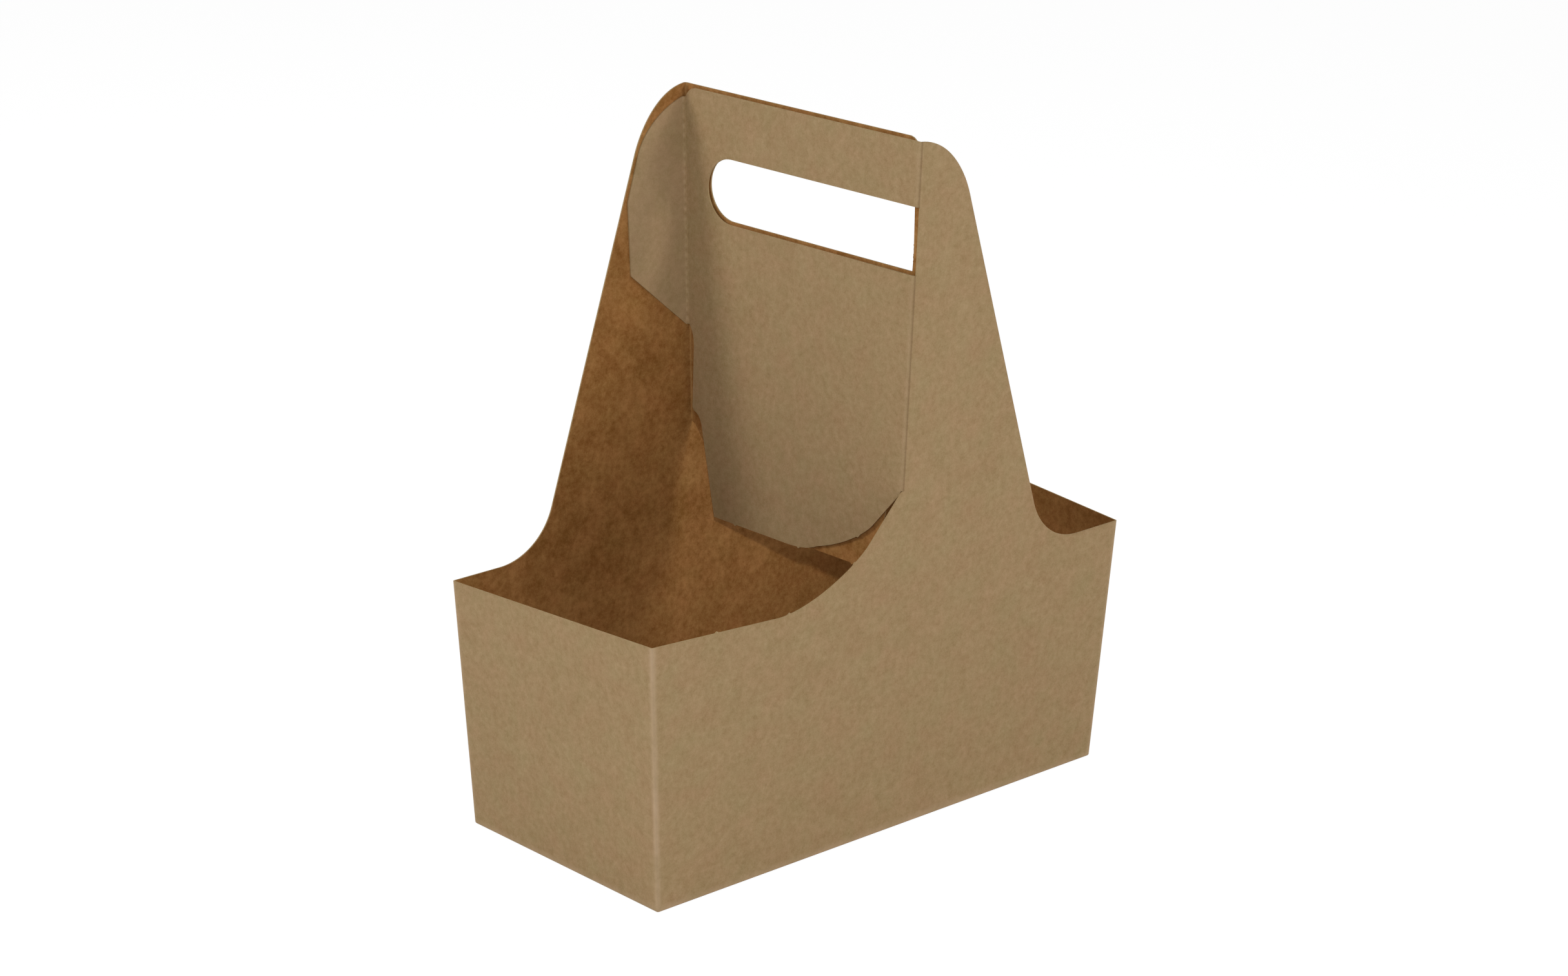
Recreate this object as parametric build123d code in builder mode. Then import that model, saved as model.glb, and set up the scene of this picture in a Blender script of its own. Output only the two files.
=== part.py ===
from build123d import *
from math import cos, radians, sin, tan
import os

os.makedirs("parts", exist_ok=True)

# Driving dimensions, mm
board = 0.5  # thickness of the kraft board
length = 200.0  # base, outside, along X
depth = 94.0  # base, outside, along Y
top = 238.6  # height of the handle's top edge
lean_end = 3.72  # outward lean of the two end walls, degrees
lean_long = 2.12  # outward lean of the two long walls, degrees
rim_low = 87.0  # rim height on the side where a long wall rises into the handle
rim_high = 93.0  # rim height at the corner past the shared cut
fold = 0.9  # outside radius of the folds

# The half of the handle that stays in the long wall, measured from the centre crease
shoulder_x = 23.6  # where the shoulder runs into the sloping edge
shoulder_drop = 20.7
edge_angle = 18.97  # of the sloping edge, from upright, degrees
foot_radius = 24.0  # hollow curve from the sloping edge into the low rim

# The cut that frees the other half of the handle from the long wall
crease_foot = 121.5  # height at which the cut reaches the centre crease
cut_bend = (13.5, 106.0)  # end of the straight start of the cut: distance, height
cut_end = (52.0, 89.6)  # end of its curve: distance, height

# The two divider plies, folded in from the long walls and laid side by side
ply_gap = 0.8  # air between the plies
ply_bottom = 89.0  # height of their lower edge
ply_lift = 0.9  # how much higher the rear ply sits
ply_toe = 11.7  # lower corner, distance from the outside of the far wall
free_edge = 2.4  # upright free edge, distance from the outside of the far wall
step_drop = 30.3  # small step in the free edge, below the glue tab

# The glue tab, its heights measured down from the handle's top edge
tab_width = 24.6
tab_head = 3.6  # top of its crease
tab_shoulder = 20.9  # where its curve meets its straight edge
tab_corner = 34.9  # its upper corner
tab_heel = 61.8  # its lower corner
tab_foot = 83.0  # lower end of its crease

# The hand slot through both plies
slot_height = 22.6
slot_drop = 32.7  # its middle, below the handle's top edge
slot_round = 32.6  # centre of its round end, along Y
slot_square = 2.9  # short of the far ply's crease

# Base flaps seen from below
flap_front = 60.0  # reach of the front flap
flap_back = 30.0  # reach of the back flap
flap_slant = 26.0  # how much each flap narrows at each end

lean_x = tan(radians(lean_end))
lean_y = tan(radians(lean_long))
half_l = length / 2
half_d = depth / 2
shell_top = top + 2 * ply_lift
slot_z = top - slot_drop
tab_z = top - tab_foot
step_z = tab_z - step_drop
crease = ply_gap / 2 + board  # centre crease, distance from X = 0
high = 1.5 * half_l  # beyond every wall
trim = 1.4 * board  # how deep an outline is cut into its wall


def wall_y(z):
    return half_d + lean_y * z


def wall_x(z):
    return half_l + lean_x * z


# The four walls and the base as one thin tapered box
with BuildPart() as box:
    with BuildSketch(Plane.XY):
        RectangleRounded(length, depth, fold)
    with BuildSketch(Plane.XY.offset(shell_top)):
        RectangleRounded(2 * wall_x(shell_top), 2 * wall_y(shell_top), fold)
    loft(ruled=True)
    fillet(box.faces().sort_by(Axis.Z)[0].edges(), board)
    with BuildSketch(Plane.XY.offset(2 * board)):
        RectangleRounded(
            2 * (wall_x(2 * board) - board), 2 * (wall_y(2 * board) - board), fold - board
        )
    with BuildSketch(Plane.XY.offset(shell_top + 1)):
        RectangleRounded(
            2 * (wall_x(shell_top + 1) - board),
            2 * (wall_y(shell_top + 1) - board),
            fold - board,
        )
    loft(ruled=True, mode=Mode.SUBTRACT)

# Outline of a long wall: low rim, shared cut, centre crease, handle half, foot
slope = (sin(radians(edge_angle)), -cos(radians(edge_angle)))
shoulder = (shoulder_x, top - shoulder_drop)
reach = (shoulder[1] - rim_low) / -slope[1]
meet = shoulder[0] + reach * slope[0]
tangent_length = foot_radius * tan(radians((90 - edge_angle) / 2))
foot_start = (meet - tangent_length * slope[0], rim_low - tangent_length * slope[1])
foot_end = (meet + tangent_length, rim_low)
cut_slope = (cut_bend[0], cut_bend[1] - crease_foot)
corner_flat = 1.6 * fold


def long_wall(handle_top):
    """Cutter for the front wall and its handle half; the back wall's is turned half a turn."""
    rise = handle_top - shoulder[1]
    with BuildPart() as wall:
        with BuildSketch(Plane.XZ):
            with BuildLine():
                Polyline(
                    (-crease - cut_end[0], cut_end[1]),
                    (-wall_x(rim_high) + corner_flat, rim_high),
                    (-high, rim_high),
                    (-high, -board),
                    (high, -board),
                    (high, rim_low),
                    foot_end,
                )
                TangentArc(foot_start, foot_end, tangent=slope)
                Line(foot_start, shoulder)
                Spline(
                    (-crease, handle_top),
                    (0.34 * shoulder_x, handle_top - 0.11 * rise),
                    (0.64 * shoulder_x, handle_top - 0.30 * rise),
                    (0.86 * shoulder_x, handle_top - 0.59 * rise),
                    shoulder,
                    tangents=[(1, -0.06), slope],
                )
                Line((-crease, handle_top), (-crease, crease_foot))
                Line((-crease, crease_foot), (-crease - cut_bend[0], cut_bend[1]))
                TangentArc(
                    (-crease - cut_bend[0], cut_bend[1]),
                    (-crease - cut_end[0], cut_end[1]),
                    tangent=(-cut_slope[0], cut_slope[1]),
                )
            make_face()
        extrude(amount=depth)
        with BuildSketch(Plane.YZ.offset(-high)):
            Polygon(
                (-wall_y(-board) - 1, -board),
                (-wall_y(shell_top) - 1, shell_top),
                (-wall_y(shell_top) + trim, shell_top),
                (-wall_y(-board) + trim, -board),
                align=None,
            )
        extrude(amount=2 * high, mode=Mode.INTERSECT)
    return wall.part


# Outline of an end wall: its rim runs from the high corner to the low one
with BuildPart() as end_wall:
    with BuildSketch(Plane.YZ):
        Polygon(
            (-high, -board),
            (-high, rim_high),
            (-wall_y(rim_high) + corner_flat, rim_high),
            (wall_y(rim_low) - corner_flat, rim_low),
            (high, rim_low),
            (high, -board),
            align=None,
        )
    extrude(amount=-high)
    with BuildSketch(Plane.XZ.offset(-high)):
        Polygon(
            (-wall_x(-board) - 1, -board),
            (-wall_x(rim_high) - 1, rim_high),
            (-wall_x(rim_high) + trim, rim_high),
            (-wall_x(-board) + trim, -board),
            align=None,
        )
    extrude(amount=2 * high, mode=Mode.INTERSECT)

# A divider ply with its glue tab, as it lies folded in from the front wall
tab_start = (wall_y(tab_z) - board, tab_z)
tab_end = (wall_y(top - tab_head) - board, top - tab_head)
toe = (wall_y(ply_bottom) - ply_toe, ply_bottom)
with BuildPart() as ply:
    with BuildSketch(Plane.YZ.offset(-crease)):
        with BuildLine():
            bend = (-wall_y(cut_bend[1]) + cut_bend[0], cut_bend[1])
            cut_stop = (-wall_y(cut_end[1]) + cut_end[0], cut_end[1])
            Polyline(
                bend,
                (-wall_y(crease_foot), crease_foot),
                (-wall_y(top), top),
                (wall_y(top) - 6 * board, top),
            )
            TangentArc((wall_y(top) - 6 * board, top), tab_end, tangent=(1, 0))
            Line(tab_end, tab_start)
            Spline(
                tab_start,
                (wall_y(tab_z) - 2.0, tab_z - 4.0),
                (wall_y(tab_z) - free_edge, tab_z - 7.5),
                tangents=[(-0.75, -1), (0, -1)],
            )
            Polyline(
                (wall_y(tab_z) - free_edge, tab_z - 7.5),
                (wall_y(step_z) - free_edge + 0.6, step_z),
                (wall_y(step_z) - free_edge - 1.6, step_z - 1.1),
                (wall_y(step_z) - free_edge - 3.3, step_z - 3.6),
                toe,
                cut_stop,
            )
            TangentArc(bend, cut_stop, tangent=cut_slope)
        make_face()
    extrude(amount=board)

# The glue tab on the inside of the far wall, its edge following the handle
with BuildPart() as tab:
    with BuildSketch(Plane.XZ.offset(-depth)):
        with BuildLine():
            Spline(
                (-crease, top - tab_head),
                (-crease - 0.2 * tab_width, top - 0.25 * tab_shoulder),
                (-crease - 0.44 * tab_width, top - 0.41 * tab_shoulder),
                (-crease - 0.67 * tab_width, top - 0.69 * tab_shoulder),
                (-crease - 0.8 * tab_width, top - tab_shoulder),
                tangents=[(-1, -0.3), (-0.33, -1)],
            )
            Polyline(
                (-crease - 0.8 * tab_width, top - tab_shoulder),
                (-crease - tab_width, top - tab_corner),
                (-crease - tab_width, top - tab_heel),
                (-crease, tab_z),
                (-crease + board, tab_z),
                (-crease + board, top - tab_head),
                (-crease, top - tab_head),
            )
        make_face()
    extrude(amount=depth)
    with BuildSketch(Plane.YZ.offset(-high)):
        Polygon(
            (wall_y(0) - 2 * board, 0),
            (wall_y(shell_top) - 2 * board, shell_top),
            (wall_y(shell_top) - 0.8 * board, shell_top),
            (wall_y(0) - 0.8 * board, 0),
            align=None,
        )
    extrude(amount=2 * high, mode=Mode.INTERSECT)


def hand_slot(square_end, middle):
    """Cutter for a ply's hand slot about the given height: square at one end, round at the other."""
    with BuildPart() as cutter:
        with BuildSketch(Plane.YZ):
            with BuildLine():
                Polyline(
                    (slot_round, middle + slot_height / 2),
                    (square_end, middle + slot_height / 2),
                    (square_end, middle - slot_height / 2),
                    (slot_round, middle - slot_height / 2),
                )
                ThreePointArc(
                    (slot_round, middle + slot_height / 2),
                    (slot_round + slot_height / 2, middle),
                    (slot_round, middle - slot_height / 2),
                )
            make_face()
        extrude(amount=2 * crease, both=True)
    return cutter.part


# The recesses under the base, between the flaps that close it
with BuildPart() as recess:
    with BuildSketch(Plane.XY):
        Rectangle(length - 4 * board, depth - 4 * board)
        Polygon(
            (-half_l, -half_d),
            (half_l, -half_d),
            (half_l - flap_slant, -half_d + flap_front),
            (-half_l + flap_slant, -half_d + flap_front),
            align=None,
            mode=Mode.SUBTRACT,
        )
        Polygon(
            (-half_l, half_d),
            (-half_l + flap_slant / 2, half_d - flap_back),
            (half_l - flap_slant / 2, half_d - flap_back),
            (half_l, half_d),
            align=None,
            mode=Mode.SUBTRACT,
        )
    extrude(amount=board)

# What the rounding of a handle crease takes off the square corner
with BuildPart() as crease_round:
    with BuildSketch(
        Plane(
            origin=(-crease, -wall_y(crease_foot), crease_foot),
            x_dir=(1, 0, 0),
            z_dir=(0, -lean_y, 1),
        )
    ):
        Rectangle(fold, fold, align=(Align.MIN, Align.MIN))
        with Locations((fold, fold)):
            Circle(fold, mode=Mode.SUBTRACT)
    extrude(amount=top)

# The whole carrier: the front ply's slot starts at its crease, the rear ply's stops short of its tab
slot_start = -wall_y(slot_z) + board
with BuildPart() as folded_carrier:
    add(box.part)
    with BuildPart(mode=Mode.INTERSECT):
        add(long_wall(top))
        add(long_wall(top + ply_lift).rotate(Axis.Z, 180))
        add(end_wall.part)
        add(end_wall.part.rotate(Axis.Z, 180))
        Box(
            2 * high,
            2 * high,
            3 * board,
            align=(Align.CENTER, Align.CENTER, Align.MIN),
        )
    with BuildPart():
        add(ply.part)
        add(tab.part)
        add(hand_slot(slot_start, slot_z), mode=Mode.SUBTRACT)
    with BuildPart():
        add(Pos(0, 0, ply_lift) * ply.part.rotate(Axis.Z, 180))
        add(Pos(0, 0, ply_lift) * tab.part.rotate(Axis.Z, 180))
        add(hand_slot(slot_start + slot_square, slot_z + ply_lift), mode=Mode.SUBTRACT)
    add(recess.part, mode=Mode.SUBTRACT)
    add(crease_round.part, mode=Mode.SUBTRACT)
    add(crease_round.part.rotate(Axis.Z, 180), mode=Mode.SUBTRACT)

folded_carrier.part.label = "folded_carrier"
export_step(folded_carrier.part, "parts/folded_carrier.step")
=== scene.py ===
# %% [markdown]
# A folded kraft-board cup carrier, rebuilt as a lesson in Blender.
# The carrier is one die-cut sheet of board. It is creased, folded and glued, so every part of it is a thin
# sheet with a smooth pale face outside and a rougher, browner face inside.
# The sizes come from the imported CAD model, which is loaded first and stays where it is.

import bmesh
import bpy
import numpy as np
from mathutils import Matrix, Vector


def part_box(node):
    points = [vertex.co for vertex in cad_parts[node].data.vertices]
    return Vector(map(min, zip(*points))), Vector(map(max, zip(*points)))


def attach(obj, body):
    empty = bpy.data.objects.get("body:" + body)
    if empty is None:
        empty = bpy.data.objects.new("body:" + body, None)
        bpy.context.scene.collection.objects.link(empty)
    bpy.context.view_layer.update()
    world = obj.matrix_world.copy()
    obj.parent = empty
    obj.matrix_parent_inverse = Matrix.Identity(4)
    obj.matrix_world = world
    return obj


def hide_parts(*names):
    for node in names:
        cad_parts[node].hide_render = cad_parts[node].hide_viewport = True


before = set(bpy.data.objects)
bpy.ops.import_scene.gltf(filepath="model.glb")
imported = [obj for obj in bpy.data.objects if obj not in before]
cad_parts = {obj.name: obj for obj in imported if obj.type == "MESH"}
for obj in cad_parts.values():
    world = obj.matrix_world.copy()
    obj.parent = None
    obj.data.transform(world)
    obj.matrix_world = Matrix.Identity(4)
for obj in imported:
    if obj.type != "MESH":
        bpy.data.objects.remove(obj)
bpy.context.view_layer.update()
NODE = "folded_carrier"
low, high = (np.array(corner) * 1000 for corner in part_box(NODE))
print("CAD box in mm", low.round(2), high.round(2))

# %% [markdown]
# Paperboard sizes are easiest to read in millimetres, so every shape is worked out in millimetres and turned
# to metres only when its mesh is made. The lean of the walls is a slope: how far a wall moves out for each
# millimetre of height.

# %% Sizes of the folded sheet, in mm
BOARD = 0.5  # thickness of the board
FOLD = 0.9  # outer radius of a fold
BASE_FOLD = 0.8 * FOLD  # radius of the fold between a wall and the base
HAIR = 0.05  # air left between two glued sheets
PLY_GAP = 0.8  # air between the two plies of the divider
PLY_LIFT = 0.9  # how far the rear ply stands above the front one
LEAN_END = np.tan(np.radians(3.72))
LEAN_LONG = np.tan(np.radians(2.12))
RIM_LOW = 87.0  # rim of an end wall at the foot of the handle
RIM_HIGH = 93.0  # rim of an end wall at its other corner
TOP = high[2] - PLY_LIFT
HALF_L = high[0] - LEAN_END * RIM_HIGH
HALF_D = high[1] - LEAN_LONG * high[2]
CREASE_X = 0.35  # place of the handle's crease at its foot
CREASE_FOOT = 121.5  # height at which the handle's crease starts
MIDDLE = -(PLY_GAP / 2 + BOARD)


def wall_x(z):
    """Outer face of the right end wall: half the base length plus the lean times the height."""
    return HALF_L + LEAN_END * z


def wall_y(z):
    """Outer face of a long wall: half the base depth plus the lean times the height."""
    return HALF_D + LEAN_LONG * z


CENTRE_SHARE = (CREASE_X + FOLD) / (wall_x(CREASE_FOOT) - FOLD)


def crease_x(z):
    """The crease line up the front wall: a fixed share of the flat wall's half length, less the fold."""
    return CENTRE_SHARE * (wall_x(z) - FOLD) - FOLD


SKEW = (CREASE_X - MIDDLE) / wall_y(CREASE_FOOT)


def ply_x(y):
    """Outer face of the front ply, a plane turned slightly about the upright axis."""
    return MIDDLE - SKEW * y


print("half length and half depth of the base:", round(HALF_L, 2), round(HALF_D, 2))
print("the divider stands", round(float(np.degrees(np.arctan(SKEW))), 2), "degrees off square")

# %% [markdown]
# A folded carrier is never quite true. The photograph shows every level edge of this one dipping towards the
# back, the top of the handle most and the lower edge of the divider not at all. So each point above that
# edge is lowered in proportion to its height and to its distance from the front.

# %% The dip of the handle
DIP = 2.0
DIP_FROM = 89.0


def settled(points):
    """Points lowered by a share of DIP: none at the front or at DIP_FROM, all at the top of the back."""
    y, z = points[..., 1], points[..., 2]
    share = np.clip((z - DIP_FROM) / (TOP - DIP_FROM), 0, None) * (y / wall_y(TOP) + 1) / 2
    return np.stack([points[..., 0], y, z - DIP * share], axis=-1)


print("the top of the handle dips", DIP, "mm from front to back")

# %% [markdown]
# A die cuts smooth outlines: straight runs joined by gentle curves. A cubic Bezier curve says most bends
# with four points, and a true arc is worked out from its centre and angles. A path is then walked at even
# steps, because even spacing gives clean quads.

# %% Paths in the plane


def bezier(a, b, c, d, n=40):
    """Cubic Bezier curve: the four points weighted by the Bernstein polynomials of t from 0 to 1."""
    t = np.linspace(0, 1, n)[:, None]
    a, b, c, d = (np.array(p, float) for p in (a, b, c, d))
    return (1 - t) ** 3 * a + 3 * t * (1 - t) ** 2 * b + 3 * t**2 * (1 - t) * c + t**3 * d


def lengths(path):
    """Distance walked along the path at each of its points."""
    steps = np.linalg.norm(np.diff(path, axis=0), axis=1)
    return np.concatenate([[0], np.cumsum(steps)])


def walk(path, stops):
    """Points of the path at the given distances from its start."""
    path = np.array(path, float)
    s = lengths(path)
    return np.stack([np.interp(stops, s, path[:, k]) for k in range(path.shape[1])], axis=1)


def even(path, n):
    """n points at even distances along the path, both ends included."""
    return walk(path, np.linspace(0, lengths(np.array(path, float))[-1], n))


def joined(*parts):
    """Several paths put end to end, with a point that ends one and starts the next kept once."""
    points = np.concatenate([np.array(p, float) for p in parts])
    keep = np.concatenate([[True], np.linalg.norm(np.diff(points, axis=0), axis=1) > 1e-6])
    return points[keep]


# %% [markdown]
# The die leaves the two halves of the handle joined by three tiny bridges, which tear when the sheet is
# folded. Each leaves a nub on both edges of the same cut, at the same distance from the crease. The cut
# could be drawn twice, once for each edge, but one function for both keeps them matching as the real ones do.

# %% The cut that both the low rim and the ply's lower edge come from
NUBS = (20.0, 48.0, 79.0)  # distance of each bridge from the crease
NUB_HEIGHT = 0.55
NUB_WIDTH = 0.5
NUB_REACH = 1.2
NUB_POINTS = 13
CUT_POINTS = 110
CUT_BEND = (13.5, 106.0)
CUT_PULLS = ((19.0, 99.8), (37.0, 89.9))
CUT_END = (52.0, 89.8)


def nubs(distance):
    """Height of the torn bridges: a bell curve at each of their places."""
    return sum(NUB_HEIGHT * np.exp(-(((distance - n) / NUB_WIDTH) ** 2)) for n in NUBS)


def shared_cut(reach, end_height):
    """Distance from the crease and height of the cut, from the crease down to the point at reach."""
    bend = bezier(CUT_BEND, *CUT_PULLS, CUT_END)
    path = joined([(0, CREASE_FOOT)], bend, [(reach, end_height)])
    around = np.linspace(-NUB_REACH, NUB_REACH, NUB_POINTS)
    near_nubs = [np.interp(n, path[:, 0], lengths(path)) + around for n in NUBS]
    stops = np.unique(np.concatenate([np.linspace(0, lengths(path)[-1], CUT_POINTS)] + near_nubs))
    return walk(path, stops[(stops >= 0) & (stops <= lengths(path)[-1])])


print("the shared cut falls from", CREASE_FOOT, "to", CUT_END[1], "mm")

# %% [markdown]
# Half of the carrier's wall runs from the handle's crease in the front wall, round the right end, to the low
# foot of the crease in the back wall. The other half is the same strip turned half a turn.
# Each column of the strip's grid starts at the base and ends on the cut edge, so the outline stays exact
# however long the columns are, and no face is wasted outside it. The part of the handle above the foot of
# the crease is a second grid, ruled between the crease and the outline.

# %% Outline of the handle half
SHOULDER = (23.6, TOP - 20.7)  # where the shoulder curve meets the straight slope
SHOULDER_PULL = (11.5, -1.2)  # how far the curve leaves the crease along the top
SLOPE_PULL = 9.5  # how far the curve runs along the slope
EDGE_ANGLE = np.radians(18.97)
FOOT_RADIUS = 24.0


def handle_outline(top):
    """The handle half from its crease to the low rim: a shoulder curve, a slope and a hollow foot."""
    slope = np.array([np.sin(EDGE_ANGLE), -np.cos(EDGE_ANGLE)])
    shoulder = np.array(SHOULDER)
    start = np.array([crease_x(top) + FOLD, top])
    curve = bezier(start, start + SHOULDER_PULL, shoulder - SLOPE_PULL * slope, shoulder)
    meet = shoulder + slope * (shoulder[1] - RIM_LOW) / -slope[1]
    tangent = FOOT_RADIUS * np.tan((np.pi / 2 - EDGE_ANGLE) / 2)
    centre = meet + (tangent, FOOT_RADIUS)
    turn = np.linspace(np.pi + EDGE_ANGLE, 1.5 * np.pi, 40)
    foot = centre + FOOT_RADIUS * np.stack([np.cos(turn), np.sin(turn)], axis=1)
    return joined(curve, foot, [(wall_x(RIM_LOW) - FOLD, RIM_LOW)])


print("the handle's foot meets the low rim at", handle_outline(TOP)[-2].round(1))

# %% [markdown]
# Blender meshes are lists of corners and faces. A grid of points turns into quads by plain index arithmetic,
# done on whole arrays. Several grids are put into one mesh and welded where their edges meet, which is how
# a fold stays one sheet. The cut edges stay sharp, so that the shading of a face doesn't darken towards them.

# %% From grids of points to one object
WELD = 0.004  # points closer than this, in mm, become one


def weld(name, grids):
    """One mesh from several grids of points in mm, each (rows, columns, 3), with (rows, columns, 2) marks:
    how close a point is to a worn fold, and how much shade is painted on it along a fold or in a slit."""
    corners, marks, faces, start = [], [], [], 0
    for points, mark in grids:
        rows, cols = points.shape[:2]
        index = start + np.arange(rows * cols).reshape(rows, cols)
        quads = np.stack([index[:-1, :-1], index[:-1, 1:], index[1:, 1:], index[1:, :-1]], axis=-1)
        corners.append(settled(points).reshape(-1, 3))
        marks.append(mark.reshape(-1, 2))
        faces.append(quads.reshape(-1, 4))
        start += rows * cols
    corners, marks, faces = np.concatenate(corners), np.concatenate(marks), np.concatenate(faces)
    mesh = bpy.data.meshes.new(name)
    mesh.from_pydata((corners / 1000).tolist(), [], faces.tolist())
    for k, mark_name in enumerate(("wear", "painted_shade")):
        attribute = mesh.attributes.new(mark_name, "FLOAT", "POINT")
        attribute.data.foreach_set("value", marks[:, k].astype(np.float32))
    shape = bmesh.new()
    shape.from_mesh(mesh)
    bmesh.ops.remove_doubles(shape, verts=shape.verts, dist=WELD / 1000)
    bmesh.ops.dissolve_degenerate(shape, edges=shape.edges, dist=WELD / 1000)
    for face in shape.faces:
        face.smooth = True
    for edge in shape.edges:
        edge.smooth = not edge.is_boundary
    shape.to_mesh(mesh)
    shape.free()
    piece = bpy.data.objects.new(name, mesh)
    bpy.context.scene.collection.objects.link(piece)
    print(name, "has", len(mesh.polygons), "faces")
    return piece


def half_turn(grids, lift=0.0):
    """The same grids turned half a turn about the upright axis and lifted."""
    turned = np.array([-1, -1, 1])
    return [(points * turned + (0, 0, lift), mark) for points, mark in grids]


def marked(points, wear=0.0, painted_shade=0.0):
    """A grid of points with its marks, each mark one number or a whole grid of them."""
    flat = np.zeros(points.shape[:2])
    return points, np.stack([wear + flat, painted_shade + flat], axis=-1)


# %% [markdown]
# The outline is split at the height of the crease's foot. What lies above it is the sail of the handle, and
# what lies below it is the rim of the strip.

# %% The sail of the handle
ACROSS = 30
CLIMB = 110
RIM_POINTS = 150


def split_outline(top):
    """The handle's outline in two: above the foot of the crease, from bottom to top, and below it."""
    path = handle_outline(top)
    s = lengths(path)
    split = np.interp(-CREASE_FOOT, -path[:, 1], s)
    return walk(path, np.linspace(split, 0, CLIMB)), walk(path, np.linspace(split, s[-1], RIM_POINTS))


def sail(top):
    """The handle half above the foot of the crease: straight rows from the crease to the outline."""
    edge = split_outline(top)[0]
    z = np.linspace(CREASE_FOOT, top, CLIMB)
    crease = np.stack([crease_x(z) + FOLD, z], axis=1)
    share = np.linspace(0, 1, ACROSS)[None, :, None]
    flat = crease[:, None] + share * (edge - crease)[:, None]
    x, z = flat[..., 0], flat[..., 1]
    return marked(np.stack([x, -wall_y(z), z], axis=-1))


# %% [markdown]
# The strip runs round two folded corners. Each column says where it stands as a share of the wall's half
# length and half depth, so the same column follows the lean of the walls from base to rim. Columns stand
# closer together next to a fold.

# %% Columns of the wall strip
NEAR_CORNER = 0.93  # share of the half depth at which the columns start to crowd
NEAR_COLUMNS = 8
SIDE_COLUMNS = 58
TURN_COLUMNS = 9


def strip_columns():
    """Columns of the strip as arrays: share of the half length and of the half depth, direction of the
    fold's radius, and rim height."""
    upper, lower = split_outline(TOP)
    under = np.linspace(crease_x(CREASE_FOOT) + FOLD, upper[0, 0], ACROSS)
    front = np.concatenate([np.stack([under, np.full(ACROSS, CREASE_FOOT)], axis=1), lower[1:]])
    share = front[:, 0] / (wall_x(front[:, 1]) - FOLD)
    zeros, ones = np.zeros(len(front)), np.ones(len(front))
    columns = [np.stack([share, -ones, zeros, -ones, front[:, 1]], axis=1)]
    turn = np.linspace(-np.pi / 2, 0, TURN_COLUMNS)[1:-1]
    ones = np.ones(len(turn))
    columns.append(np.stack([ones, -ones, np.cos(turn), np.sin(turn), RIM_LOW * ones], axis=1))
    near = np.linspace(NEAR_CORNER, 1, NEAR_COLUMNS)
    between = np.linspace(-NEAR_CORNER, NEAR_CORNER, SIDE_COLUMNS)[1:-1]
    side = np.concatenate([-near[::-1], between, near])
    zeros, ones = np.zeros(len(side)), np.ones(len(side))
    rim = RIM_LOW + (RIM_HIGH - RIM_LOW) * (side + 1) / 2
    columns.append(np.stack([ones, side, ones, zeros, rim], axis=1))
    turn, ones = turn + np.pi / 2, np.ones(len(turn))
    columns.append(np.stack([ones, ones, np.cos(turn), np.sin(turn), RIM_HIGH * ones], axis=1))
    back = shared_cut(wall_x(RIM_HIGH) + crease_x(CREASE_FOOT) - FOLD, RIM_HIGH)[::-1]
    across = back[:-1, 0] - crease_x(CREASE_FOOT)
    share = across / (wall_x(back[:-1, 1]) - FOLD)
    rim = back[:-1, 1] + nubs(back[:-1, 0])
    zeros, ones = np.zeros(len(share)), np.ones(len(share))
    columns.append(np.stack([share, ones, zeros, ones, rim], axis=1))
    columns.append(np.array([[-CENTRE_SHARE, 1, 0, 1, CREASE_FOOT]]))
    return np.concatenate(columns)


# %% [markdown]
# Rows climb each column from the fold at the base to the rim. Board pales where a fold has been rubbed, so
# points near a corner fold or the base fold are marked as worn.

# %% The wall strip
ROWS = 46
BEND_ROWS = 6
CORNER_WEAR = 1.1  # width of the worn band along a corner fold
BASE_WEAR = 1.2  # height of the worn band along the base
FACING = 0.7  # how far a column in a corner has turned when it is at the middle of the fold


def strip():
    """The wall strip as a grid: rows climb from the rounded base fold to the rim, columns run round."""
    shares_x, shares_y, out_x, out_y, rim = strip_columns().T
    bend = np.linspace(0, np.pi / 2, BEND_ROWS)[:-1]
    inset = np.concatenate([BASE_FOLD * (1 - np.sin(bend)), np.zeros(ROWS)])[:, None]
    climb = np.linspace(0, 1, ROWS)[:, None]
    curved = BASE_FOLD * (1 - np.cos(bend))[:, None] + 0 * rim
    z = np.concatenate([curved, BASE_FOLD + climb * (rim - BASE_FOLD)])
    radius = FOLD - inset
    x = shares_x * (wall_x(z) - FOLD) + radius * out_x
    y = shares_y * (wall_y(z) - FOLD) + radius * out_y
    along = lengths(np.stack([x[ROWS // 3], y[ROWS // 3]], axis=1))
    front_corner = np.argmax((out_x > FACING) & (shares_y < 0))
    back_corner = np.argmax((out_y > FACING) & (shares_y > 0))
    corners = (front_corner, back_corner)
    wear = sum(np.exp(-(((along - along[c]) / CORNER_WEAR) ** 2)) for c in corners) + 0 * z
    wear = np.maximum(wear, np.exp(-((z / BASE_WEAR) ** 2)))
    return marked(np.stack([x, y, z], axis=-1), wear=wear)


front_half = [strip(), sail(TOP)]
back_half = [strip(), sail(TOP + PLY_LIFT)]
sleeve = weld("sleeve", front_half + half_turn(back_half))

# %% [markdown]
# A ply of the divider is the handle half that was cut loose, folded back through ninety degrees at the
# crease. It has a hand slot in it, so its grid is a ring: one edge follows the slot, the other follows the
# outline, and straight columns join the two. The front ply's slot is open at the crease, which makes
# its ring a long C.

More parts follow.
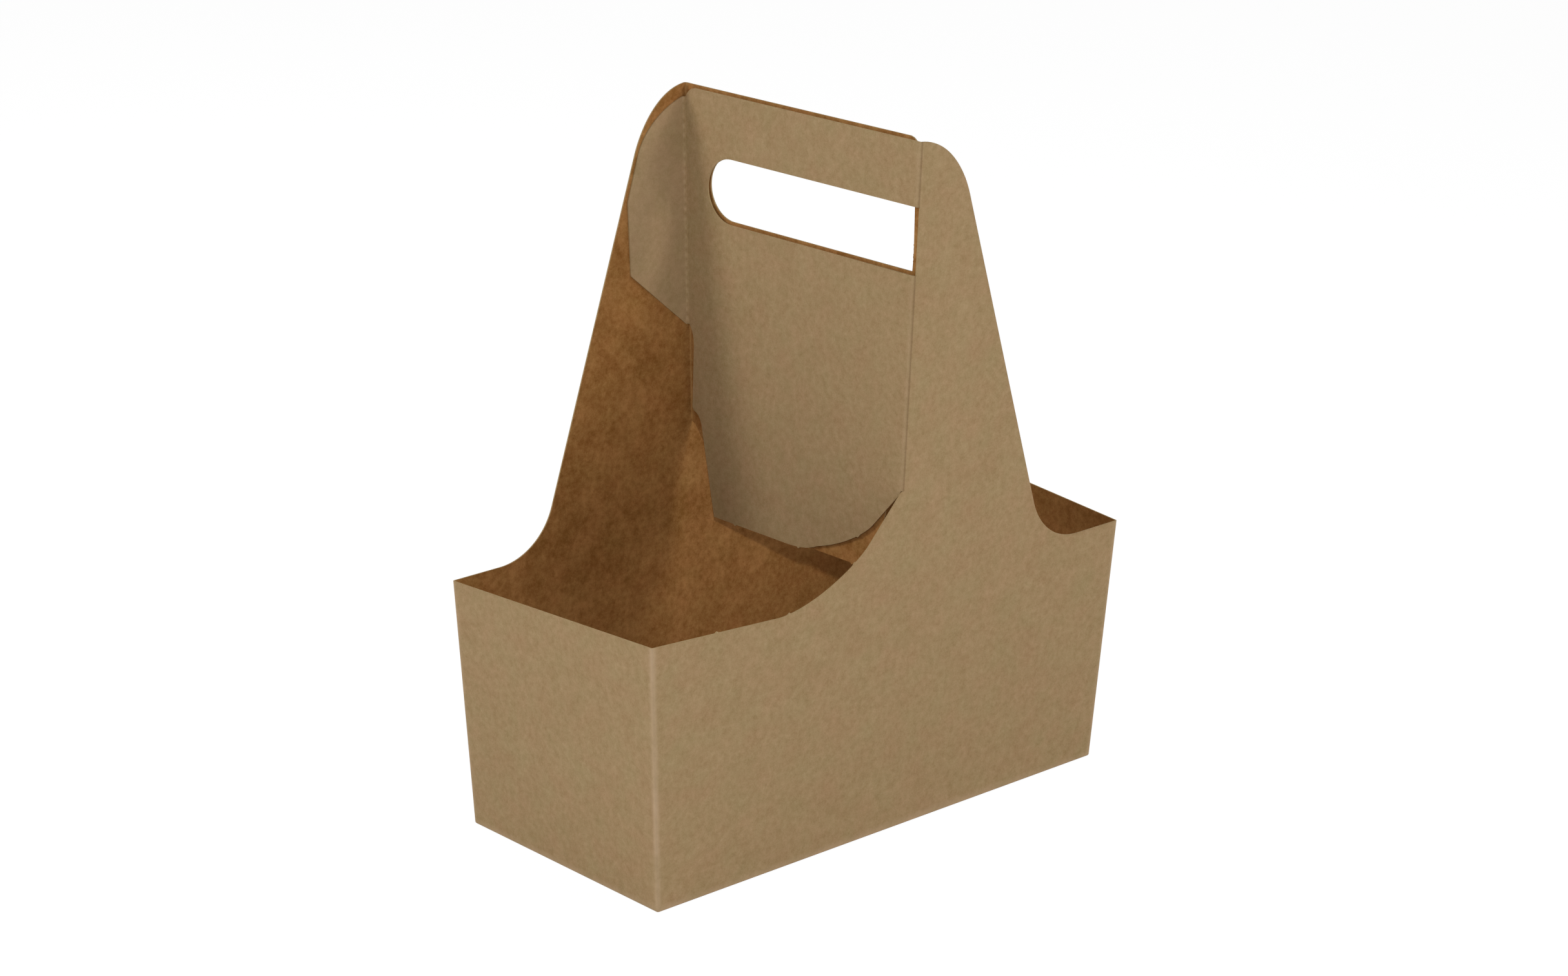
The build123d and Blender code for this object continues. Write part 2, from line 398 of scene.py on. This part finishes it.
# %% Sizes of a ply, in mm
PLY_BOTTOM = 88.9  # height of its level lower edge
PLY_TOE = 12.4  # from the far wall to the end of that edge
FREE_EDGE = 2.5  # from the far wall to the free edge at the step
FREE_EDGE_TOP = 4.0  # from the far wall to the free edge under the tab
STEP_Z = 125.3  # height of the small step in the free edge
TAB_FOOT = 83.0  # the tab's crease starts this far below the top
TAB_HEAD = 3.6  # and ends this far below it
TAB_Z = TOP - TAB_FOOT
TAB_TOP = TOP - TAB_HEAD
TAB_FOLD = 0.7  # radius of the tab's fold
SLOT_Z = TOP - 32.8
SLOT_HEIGHT = 22.7
SLOT_ROUND = 31.2  # from the middle to the centre of the slot's round end
SLOT_SQUARE = 1.8  # from the far wall's board to the slot's square end
FRONT_FOOT_DROP = 0.4  # how far a crease's foot lies below CREASE_FOOT
BACK_FOOT_DROP = 2.0


def crease_y(z):
    """Where the front ply's flat sheet starts, after the fold out of the front wall."""
    return -wall_y(z) + FOLD


def tab_y(z):
    """Where the ply's flat sheet ends and its tab folds onto the far wall."""
    return wall_y(z) - 2 * BOARD - TAB_FOLD - HAIR


# %% [markdown]
# The outline of a ply has three stretches. The lower edge is the shared cut, eased down to the level of the
# toe. The free edge has a small step, and the top edge slants at its far corner. The bends are short, so
# each is one Bezier curve, given by how far its points stand from the corner that it rounds.

# %% Outline of a ply, as distance across the tray and height
LOWER_REACH = 85.0
LEVEL_FROM = 0.75  # share of the cut's bend at which the lower edge starts to level out
PAST_FOLD = 0.3
BELOW_FOOT = 0.1
STEP_POINTS = np.array([(-4.5, -4.5), (-3.6, -1.4), (-2.0, -0.6)])
TOP_CORNER = 4.4  # length of the slanted corner along the top
CORNER_POINTS = 12


def ply_lower_edge(foot_drop):
    """The shared cut seen on the ply, from its corner under the crease foot to the toe."""
    edge = shared_cut(LOWER_REACH, PLY_BOTTOM)
    y = crease_y(CREASE_FOOT) - FOLD + edge[:, 0]
    toe = wall_y(PLY_BOTTOM) - PLY_TOE
    foot = CREASE_FOOT - foot_drop
    keep = (edge[:, 0] > FOLD + PAST_FOLD) & (edge[:, 1] < foot - BELOW_FOOT) & (y < toe)
    level = (edge[:, 0] - LEVEL_FROM * CUT_END[0]) / ((1 - LEVEL_FROM) * CUT_END[0])
    height = edge[:, 1] + np.clip(level, 0, 1) * (PLY_BOTTOM - edge[:, 1]) - nubs(edge[:, 0])
    return joined([(crease_y(foot), foot)], np.stack([y, height], axis=1)[keep], [(toe, PLY_BOTTOM)])


def ply_free_edge():
    """From the toe up the free edge, over its small step, to the foot of the tab's crease."""
    edge = np.array([wall_y(STEP_Z) - FREE_EDGE, STEP_Z])
    step = bezier(*(edge + STEP_POINTS), edge, n=14)
    turn = wall_y(TAB_Z) - FREE_EDGE_TOP
    end = tab_y(TAB_Z)
    foot = bezier((turn, TAB_Z - 7), (turn, TAB_Z - 4), (end - 1.4, TAB_Z - 1.8), (end, TAB_Z), n=12)
    return joined([(wall_y(PLY_BOTTOM) - PLY_TOE, PLY_BOTTOM)], step, foot)


def ply_top_edge():
    """From the top of the tab's crease over the slanted corner and along the top to the crease."""
    low_end, top_end = tab_y(TAB_TOP), tab_y(TOP) - TOP_CORNER
    start, end = (low_end, TAB_TOP), (top_end, TOP)
    corner = bezier(start, (low_end - 0.8, TOP - 1.9), (top_end + 1.8, TOP - 0.1), end, CORNER_POINTS)
    return joined(corner, [(crease_y(TOP), TOP)])


def half_circle(y, z, radius, start, end, n=40):
    """Part of a circle about (y, z), with angles in degrees."""
    turn = np.radians(np.linspace(start, end, n))
    return np.stack([y + radius * np.cos(turn), z + radius * np.sin(turn)], axis=1)


# %% [markdown]
# Between the slot and the outline the sheet is ruled with straight columns. A long outer path keeps its own
# points, because it carries fine detail such as the nubs, and a short one is walked at even steps.

# %% The sheet between the slot and the outline
SHEET_ROWS = 26
STEP = 1.4  # spacing of the columns on a short path, in mm
LONG_PATH = 60  # a path with more points than this keeps them
FEWEST = 6
PLY_WEAR = 0.3
PLY_WEAR_WIDTH = 0.6
SHADE_PLACE = 0.72  # where the line of painted shade lies on the fold: 0 at the ply, 1 at the wall
SHADE_WIDTH = 0.22


def fan(pairs):
    """Columns from an inner path to an outer one: each pair is walked in the same number of steps."""
    inner, outer = [], []
    for near, far in pairs:
        far = np.array(far, float)
        if len(far) <= LONG_PATH:
            far = even(far, max(FEWEST, int(lengths(far)[-1] / STEP)))
        outer.append(far)
        inner.append(even(near, len(far)))
    inner, outer = np.concatenate(inner), np.concatenate(outer)
    share = np.linspace(0, 1, SHEET_ROWS)[:, None, None]
    return inner + share * (outer - inner)


def on_ply(flat):
    """Points of the ply's plane from their place across the tray and their height, with their marks."""
    y, z = flat[..., 0], flat[..., 1]
    wear = PLY_WEAR * np.exp(-(((y - crease_y(z)) / PLY_WEAR_WIDTH) ** 2))
    return marked(np.stack([ply_x(y), y, z], axis=-1), wear=wear)


def crease_arc(heights, bottom_drop=0.0, worn=PLY_WEAR, shade_strength=0.4):
    """The fold out of the front wall: a quarter turn at each rising height, with a line of painted shade on
    its wall side.
    """
    z = heights[:, None]
    turn = np.linspace(-np.pi, -np.pi / 2, 8)[None, :]
    sheet = ply_x(crease_y(z))
    width = crease_x(z) + FOLD - sheet
    x = sheet + width * (1 + np.cos(turn))
    y = crease_y(z) + FOLD * np.sin(turn)
    wall_side = (turn / np.pi + 1) * 2 + 0 * z
    z = z + bottom_drop * wall_side * (z == heights[0])
    # A dark line of painted shade along the wall side of the fold.
    painted_shade = shade_strength * np.exp(-(((wall_side - SHADE_PLACE) / SHADE_WIDTH) ** 2))
    return marked(np.stack([x, y, z], axis=-1), wear=worn * (1 - wall_side), painted_shade=painted_shade)


# %% [markdown]
# The two plies share one outline and differ in their slots. Both are made in the front ply's place, and the
# rear one is turned half a turn when its mesh is welded.

# %% The two plies
CREASE_POINTS = 84
free = ply_free_edge()
upper = ply_top_edge()
corner, along_top = upper[:CORNER_POINTS], upper[CORNER_POINTS - 1 :]
slot_low, slot_high = SLOT_Z - SLOT_HEIGHT / 2, SLOT_Z + SLOT_HEIGHT / 2
middle = [(tab_y(SLOT_Z), SLOT_Z)]


def open_ply():
    """The front ply: its slot starts at the crease and ends in a half circle."""
    radius = SLOT_HEIGHT / 2
    ring = fan(
        [
            ([(crease_y(slot_low), slot_low), (SLOT_ROUND, slot_low)], ply_lower_edge(FRONT_FOOT_DROP)),
            (half_circle(SLOT_ROUND, SLOT_Z, radius, -90, 0), joined(free, middle)),
            (half_circle(SLOT_ROUND, SLOT_Z, radius, 0, 90), joined(middle, corner)),
            ([(SLOT_ROUND, slot_high), (crease_y(slot_high), slot_high)], along_top),
        ]
    )
    foot = CREASE_FOOT - FRONT_FOOT_DROP
    below = crease_arc(np.linspace(foot, slot_low, SHEET_ROWS), FRONT_FOOT_DROP)
    above = crease_arc(np.linspace(slot_high, TOP, SHEET_ROWS))
    return [on_ply(ring), below, above]


def closed_ply():
    """The rear ply, in the front ply's place: its slot is round near its own crease and square far off."""
    radius = SLOT_HEIGHT / 2
    near, far = -SLOT_ROUND, wall_y(SLOT_Z) - BOARD - SLOT_SQUARE
    foot = CREASE_FOOT - BACK_FOOT_DROP
    crease = even([(crease_y(TOP), TOP), (crease_y(foot), foot)], CREASE_POINTS)
    ring = fan(
        [
            ([(near, slot_low), (far, slot_low)], ply_lower_edge(BACK_FOOT_DROP)),
            ([(far, slot_low), (far, SLOT_Z)], joined(free, middle)),
            ([(far, SLOT_Z), (far, slot_high)], joined(middle, corner)),
            ([(far, slot_high), (near, slot_high)], along_top),
            (half_circle(near, SLOT_Z, radius, 90, 270), crease),
        ]
    )
    return [on_ply(ring), crease_arc(crease[::-1, 1], BACK_FOOT_DROP - PLY_LIFT, worn=1.0, shade_strength=0.0)]


# %% [markdown]
# The far edge of each ply carries a glue tab. It folds over along a perforated crease and lies on the
# inside of the opposite wall. Its outer edge repeats the curve of the handle, a little inside it. The real
# perforations are too fine to show, so they are drawn as coarse dashes: pale dashes of torn fibre, and
# between them dark dashes of painted shade for the slits.

# %% The glue tab
TAB_WIDTH = 24.6
TAB_SHOULDER = 20.9  # from the top down to the end of the tab's curve
TAB_CORNER = 34.9  # to its widest corner
TAB_HEEL = 61.8  # to the heel, where its lower edge starts
TAB_ROWS = 120
TAB_COLUMNS = 18
CROWDING = 1.3  # above 1, columns crowd towards the crease
PERFORATION = 3.2  # length of a dash and its gap
TAB_WEAR = 0.3
PALE_DASH = 0.8
# Depth of the painted shade in the perforation's slits.
SLIT_SHADE = 0.4


def tab_plane_y(z):
    """Visible face of the tab: two boards inside the far wall's outer face, with a hair of air."""
    return wall_y(z) - 2 * BOARD - HAIR


def tab_outline(x0):
    """The tab's edge from the foot of its crease to the head: straight runs, then the handle's curve."""
    shoulder = (x0 - 0.8 * TAB_WIDTH, TOP - TAB_SHOULDER)
    reach = (x0 - 0.31 * TAB_WIDTH, TAB_TOP - 2.4)
    bend = (x0 - 0.68 * TAB_WIDTH, TAB_TOP - 8.1)
    curve = bezier((x0, TAB_TOP), reach, bend, shoulder, n=24)
    heel = (x0 - 0.975 * TAB_WIDTH, TOP - TAB_HEEL)
    corner_foot = (x0 - TAB_WIDTH, TOP - TAB_CORNER - 1.5)
    corner_head = (x0 - TAB_WIDTH + 0.4, TOP - TAB_CORNER)
    return joined([(x0, TAB_Z), heel, corner_foot, corner_head], curve[::-1])


def tab():
    """The tab's sheet and the perforated fold that joins it to the ply: pale dashes of torn fibre, with
    painted shade of the slits between.
    """
    x0 = float(ply_x(tab_y(SLOT_Z))) - TAB_FOLD
    edge = even(tab_outline(x0), TAB_ROWS)
    line = np.stack([np.full(TAB_ROWS, x0), np.linspace(TAB_Z, TAB_TOP, TAB_ROWS)], axis=1)
    share = np.linspace(0, 1, TAB_COLUMNS)[:, None, None] ** CROWDING
    flat = line + share * (edge - line)
    x, z = flat[..., 0], flat[..., 1]
    sheet = marked(np.stack([x, tab_plane_y(z), z], axis=-1), wear=TAB_WEAR)
    z = np.linspace(TAB_Z, TAB_TOP, TAB_ROWS)[:, None]
    turn = np.linspace(np.pi / 2, 0, 7)[None, :]
    sheet_x = ply_x(tab_y(z))
    fold_x = x0 + (sheet_x - x0) * np.cos(turn)
    fold_y = tab_plane_y(z) - TAB_FOLD + TAB_FOLD * np.sin(turn)
    dash = 0.5 + 0.5 * np.sin(2 * np.pi * z / PERFORATION)
    pale = PALE_DASH * dash * np.sin(turn) ** 8
    # Painted shade of the slits, between the pale dashes.
    dark = SLIT_SHADE * (1 - dash) * np.sin(2 * turn) ** 4
    fold = marked(np.stack([fold_x, fold_y, z + 0 * turn], axis=-1), wear=pale, painted_shade=dark)
    return [sheet, fold]


front_ply = weld("front_ply", open_ply() + tab())
back_ply = weld("back_ply", half_turn(closed_ply() + tab(), PLY_LIFT))

# %% [markdown]
# The base can't be seen in the photograph. Carriers of this kind close with flaps that fold under from the
# long walls, over a floor sheet that folds in from the ends.

# %% The base
FLAP_FRONT = 60.0
FLAP_BACK = 30.0
FLAP_SLANT = 26.0
FLAP_LONG_POINTS = 40
FLAP_SHORT_POINTS = 16


def level(name, corners, z):
    """A flat sheet at height z: two edges joined by straight rows, each edge between two corners."""
    a, b, c, d = (np.array(p, float) for p in corners)
    t = np.linspace(0, 1, FLAP_LONG_POINTS)[:, None]
    near, far = a + t * (b - a), d + t * (c - d)
    share = np.linspace(0, 1, FLAP_SHORT_POINTS)[:, None, None]
    flat = near + share * (far - near)
    x, y = flat[..., 0], flat[..., 1]
    points = np.stack([x, y, np.full(x.shape, z)], axis=-1)
    return weld(name, [marked(points[::-1])])


side, ends = HALF_D - BASE_FOLD, HALF_L - BASE_FOLD
tip_x, tip_y = ends - FLAP_SLANT, FLAP_FRONT - HALF_D
front_flap = level("front_flap", [(-ends, -side), (ends, -side), (tip_x, tip_y), (-tip_x, tip_y)], 0.0)
tip_x, tip_y = ends - FLAP_SLANT / 2, HALF_D - FLAP_BACK
back_flap = level("back_flap", [(ends, side), (-ends, side), (-tip_x, tip_y), (tip_x, tip_y)], 0.0)
floor_sheet = level("floor_sheet", [(-ends, -side), (ends, -side), (ends, side), (-ends, side)], BOARD)

# %% [markdown]
# Solidify gives every sheet its thickness. It can hand different materials to the face it starts from, to the
# face it adds and to the rim between them, which is just what a two-sided board with a cut edge needs.

# %% Thickness
PIECES = [sleeve, front_ply, back_ply, front_flap, back_flap, floor_sheet]
for piece in PIECES:
    thick = piece.modifiers.new("board", "SOLIDIFY")
    thick.thickness = BOARD / 1000
    thick.offset = -1
    thick.material_offset = 1
    thick.material_offset_rim = 2
    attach(piece, "root")
    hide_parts(NODE)
print(len(PIECES), "pieces of board,", BOARD, "mm thick")

# %% [markdown]
# Kraft board is made of long unbleached wood fibres, felted together. The outer face is finer and greyer, the
# inner one rougher and browner. Both show faint clouds, where the fibres bunched as the sheet was formed, and
# a fine tooth. The tint drifts a little between pink and olive. The surface is dull, so its roughness is
# high. Each pattern reads Object coordinates in metres, so its scale is one over the size of its spots, and
# it runs on unbroken over the folds.

# %% Helpers for materials


def linear(colour):
    """An sRGB hex colour as linear values: each channel through the sRGB curve."""
    channels = np.array([int(colour[k : k + 2], 16) for k in (1, 3, 5)]) / 255
    values = np.where(channels <= 0.04045, channels / 12.92, ((channels + 0.055) / 1.055) ** 2.4)
    return tuple(float(v) for v in values) + (1.0,)


def add(tree, kind, settings=None, links=None, **values):
    """A node with its settings, its socket values and the sockets that feed it."""
    node = tree.nodes.new(kind)
    for key, value in (settings or {}).items():
        setattr(node, key, value)
    for key, value in values.items():
        node.inputs[key.replace("_", " ")].default_value = value
    for key, source in (links or {}).items():
        tree.links.new(source, node.inputs[key])
    return node


def mixed(tree, factor, first, second, blend="MIX"):
    """Two colours mixed: each a hex colour or a socket."""
    mix = add(tree, "ShaderNodeMix", {"data_type": "RGBA", "blend_type": blend})
    sockets = (mix.inputs["Factor"], mix.inputs[6], mix.inputs[7])
    for socket, source in zip(sockets, (factor, first, second)):
        if isinstance(source, str):
            socket.default_value = linear(source)
        elif isinstance(source, float):
            socket.default_value = source
        else:
            tree.links.new(source, socket)
    return mix.outputs[2]


# %% [markdown]
# The felt of the fibres, the clouds and the tooth are three noises of different sizes. They could be three
# textures mixed in turn, but adding them up about one half lets a single mix turn the sum into a colour and
# lets the same sum drive the bump.

# %% The grain of the board, in metres
FELT_SIZE = 0.0022
CLOUD_SIZE = 0.012
TOOTH_SIZE = 0.0005
DRIFT_SIZE = 0.009


def board_noise(tree, place, felt, cloud, tooth):
    """Felted fibres, clouds and tooth added up about one half, each weighted by its own depth."""
    total = None
    start = 0.5 - 0.5 * (felt + cloud + tooth)
    for depth, size in ((felt, FELT_SIZE), (cloud, CLOUD_SIZE), (tooth, TOOTH_SIZE)):
        grain = {"Scale": 1 / size, "Detail": 3, "Roughness": 0.6}
        spots = add(tree, "ShaderNodeTexNoise", links={"Vector": place}, **grain)
        weigh = add(tree, "ShaderNodeMath", {"operation": "MULTIPLY_ADD"}, {0: spots.outputs["Fac"]})
        weigh.inputs[1].default_value = depth
        weigh.inputs[2].default_value = start
        if total:
            tree.links.new(total, weigh.inputs[2])
        total = weigh.outputs[0]
    return total


# %% [markdown]
# One function makes all three finishes, because the outside, the inside and the cut edge are the same fibres
# seen in different states. Each finish gets two colours, the pale colour of its worn folds, and how strongly
# felt, clouds and tooth show.

# %% Board finishes
OLIVE = "#F6FFF4"
PINK = "#FFF3F0"
# Colour of painted shade: a dark line along a fold and the slits of a perforation.
SHADE_COLOUR = "#6A4C30"
MATT = 0.86  # uncoated board scatters nearly all of its gloss
BOARD_IOR = 1.45
GLOSS = 0.25  # half of the shader's usual 0.5, because fibres hold little shine
TOOTH_BUMP = 0.12
TOOTH_DEPTH = 0.0002


def board_material(name, dark, light, pale, felt, cloud, tooth):
    """Kraft board between a dark and a light colour, paler on a worn fold, darker where shade is painted
    along a fold and in a perforation's slits.
    """
    material = bpy.data.materials.new(name)
    material.use_nodes = True
    tree = material.node_tree
    tree.nodes.clear()
    place = add(tree, "ShaderNodeTexCoord").outputs["Object"]
    noise = board_noise(tree, place, felt, cloud, tooth)
    colour = mixed(tree, noise, dark, light)
    drift = add(tree, "ShaderNodeTexNoise", links={"Vector": place}, Scale=1 / DRIFT_SIZE, Detail=2)
    tint = mixed(tree, drift.outputs["Fac"], OLIVE, PINK)
    colour = mixed(tree, 1.0, colour, tint, "MULTIPLY")
    wear = add(tree, "ShaderNodeAttribute", {"attribute_name": "wear"}).outputs["Fac"]
    worn = add(tree, "ShaderNodeMath", {"operation": "MULTIPLY"}, {0: wear, 1: drift.outputs["Fac"]})
    colour = mixed(tree, worn.outputs[0], colour, pale)
    # Painted shade along a fold and in a perforation's slits darkens the colour here.
    painted_shade = add(tree, "ShaderNodeAttribute", {"attribute_name": "painted_shade"}).outputs["Fac"]
    colour = mixed(tree, painted_shade, colour, SHADE_COLOUR)
    finish = {"Roughness": MATT, "IOR": BOARD_IOR}
    shader = add(tree, "ShaderNodeBsdfPrincipled", links={"Base Color": colour}, **finish)
    shader.inputs["Specular IOR Level"].default_value = GLOSS
    bump = add(tree, "ShaderNodeBump", links={"Height": noise}, Strength=TOOTH_BUMP, Distance=TOOTH_DEPTH)
    tree.links.new(bump.outputs["Normal"], shader.inputs["Normal"])
    output = add(tree, "ShaderNodeOutputMaterial")
    tree.links.new(shader.outputs["BSDF"], output.inputs["Surface"])
    return material


outside = board_material("kraft_liner_outside", "#917852", "#B59A78", "#C4A98A", 1.0, 0.25, 0.8)
inside = board_material("kraft_board_inside", "#875A28", "#B0804D", "#B08A58", 1.7, 1.5, 1.1)
cut_edge = board_material("kraft_cut_edge", "#94774F", "#B6A07C", "#B0966F", 0.5, 0.5, 0.5)
for piece in PIECES:
    for material in (outside, inside, cut_edge):
        piece.data.materials.append(material)
print("finishes:", outside.name, inside.name, cut_edge.name)

# %% [markdown]
# The photograph was taken from in front and to the left of the carrier, a little above it, with a long lens.
# The camera's place and angles were worked out from the photograph's own corners.

# %% Camera
CAMERA_PLACE = (-0.8791, -0.9448, 0.5549)
CAMERA_YAW = -42.79
CAMERA_PITCH = -19.065
CAMERA_ROLL = 0.908
CAMERA_LENS = 93.79
SENSOR_WIDTH = 36
FARTHEST = 50

view = bpy.data.cameras.new("camera")
view.lens = CAMERA_LENS
view.sensor_width = SENSOR_WIDTH
view.clip_end = FARTHEST
camera = bpy.data.objects.new("camera", view)
bpy.context.scene.collection.objects.link(camera)
camera.matrix_world = (
    Matrix.Translation(CAMERA_PLACE)
    @ Matrix.Rotation(np.radians(CAMERA_YAW), 4, "Z")
    @ Matrix.Rotation(np.radians(90 + CAMERA_PITCH), 4, "X")
    @ Matrix.Rotation(np.radians(CAMERA_ROLL), 4, "Z")
)
bpy.context.scene.camera = camera
print("the camera stands", round(Vector(CAMERA_PLACE).length, 2), "m from the base")

# %% [markdown]
# The background looks white to the camera, and would to any gloss or glass, but the dim tent is what lights
# the board. Most of the floor's colour is that same white, and the rest is lit, so that the carrier leaves a
# faint shadow on it.

# %% Stage
SKY = 0.2
FLOOR_SHARE = 0.85  # share of the floor that is plain white to the camera
FLOOR_GLOW = 1.1
FLOOR_SIZE = 8
FLOOR_DROP = 0.0002  # keeps the floor out of the base


def sees_white(tree):
    """One for rays that show the background: from the camera, off a gloss or through glass. Else zero."""
    path = add(tree, "ShaderNodeLightPath").outputs
    pair = {0: path["Is Camera Ray"], 1: path["Is Glossy Ray"]}
    first = add(tree, "ShaderNodeMath", {"operation": "MAXIMUM"}, pair).outputs[0]
    pair = {0: first, 1: path["Is Transmission Ray"]}
    return add(tree, "ShaderNodeMath", {"operation": "MAXIMUM"}, pair).outputs[0]


def white_floor():
    """A pale matt floor, brightened for the camera so that it meets the white background."""
    material = bpy.data.materials.new("pale_floor")
    material.use_nodes = True
    tree = material.node_tree
    tree.nodes.clear()
    matt = add(tree, "ShaderNodeBsdfDiffuse", Color=(0.9, 0.9, 0.9, 1))
    bright = add(tree, "ShaderNodeEmission", Color=(1, 1, 1, 1), Strength=FLOOR_GLOW)
    share = add(tree, "ShaderNodeMath", {"operation": "MULTIPLY"}, {0: sees_white(tree)})
    share.inputs[1].default_value = FLOOR_SHARE
    both = add(tree, "ShaderNodeMixShader")
    tree.links.new(share.outputs[0], both.inputs[0])
    tree.links.new(matt.outputs[0], both.inputs[1])
    tree.links.new(bright.outputs[0], both.inputs[2])
    output = add(tree, "ShaderNodeOutputMaterial")
    tree.links.new(both.outputs[0], output.inputs["Surface"])
    return material


bpy.ops.mesh.primitive_plane_add(size=FLOOR_SIZE, location=(0, 0, -FLOOR_DROP))
ground = bpy.context.object
ground.name = "floor"
ground.data.materials.append(white_floor())

world = bpy.data.worlds.new("tent")
bpy.context.scene.world = world
world.use_nodes = True
sky = world.node_tree
sky.nodes.clear()
ambient = add(sky, "ShaderNodeBackground", Color=(1, 1, 1, 1), Strength=SKY)
white = add(sky, "ShaderNodeBackground", Color=(1, 1, 1, 1), Strength=1.0)
blend = add(sky, "ShaderNodeMixShader")
sky.links.new(sees_white(sky), blend.inputs[0])
sky.links.new(ambient.outputs[0], blend.inputs[1])
sky.links.new(white.outputs[0], blend.inputs[2])
sky_out = add(sky, "ShaderNodeOutputWorld")
sky.links.new(blend.outputs[0], sky_out.inputs["Surface"])

# %% [markdown]
# The light is that of a small product studio: a dim white tent, round soft lamps to the right, to the left
# and behind, and a small lamp just above the lens. The small lamp draws the one sharp shadow in the
# photograph, under the divider. The lamps on the right reach under the divider and leave the soft edge of
# light on the inside of the back wall.

# %% Lamps
LENS_LAMP_WATTS = 6.2
LENS_LAMP_SIZE = 0.03
LAMP_ABOVE_LENS = 0.11
TARGET = Vector((0, 0, 0.1))
LAMP_DISTANCE = 1.2
LAMP_SIZE = 0.4
LAMPS = {
    "right_low": ((1, -1, 0.45), 1.6),
    "right_high": ((0.8, -1, 1.3), 3.7),
    "left_side": ((-1, 0.6, 0.6), 4.3),
    "behind": ((0.2, 1, 1), 2.2),
}


def lamp(name, place, watts, size):
    """A round lamp that faces the carrier."""
    light = bpy.data.lights.new(name, "AREA")
    light.shape = "DISK"
    light.size = size
    light.energy = watts
    holder = bpy.data.objects.new(name, light)
    holder.location = place
    holder.rotation_euler = (TARGET - place).to_track_quat("-Z", "Y").to_euler()
    bpy.context.scene.collection.objects.link(holder)


above_lens = Vector(CAMERA_PLACE) + Vector((0, 0, LAMP_ABOVE_LENS))
lamp("lens_lamp", above_lens, LENS_LAMP_WATTS, LENS_LAMP_SIZE)
for name, (direction, watts) in LAMPS.items():
    lamp(name, TARGET + LAMP_DISTANCE * Vector(direction).normalized(), watts, LAMP_SIZE)
bpy.context.scene.view_settings.view_transform = "Standard"
print(len(LAMPS) + 1, "lamps")
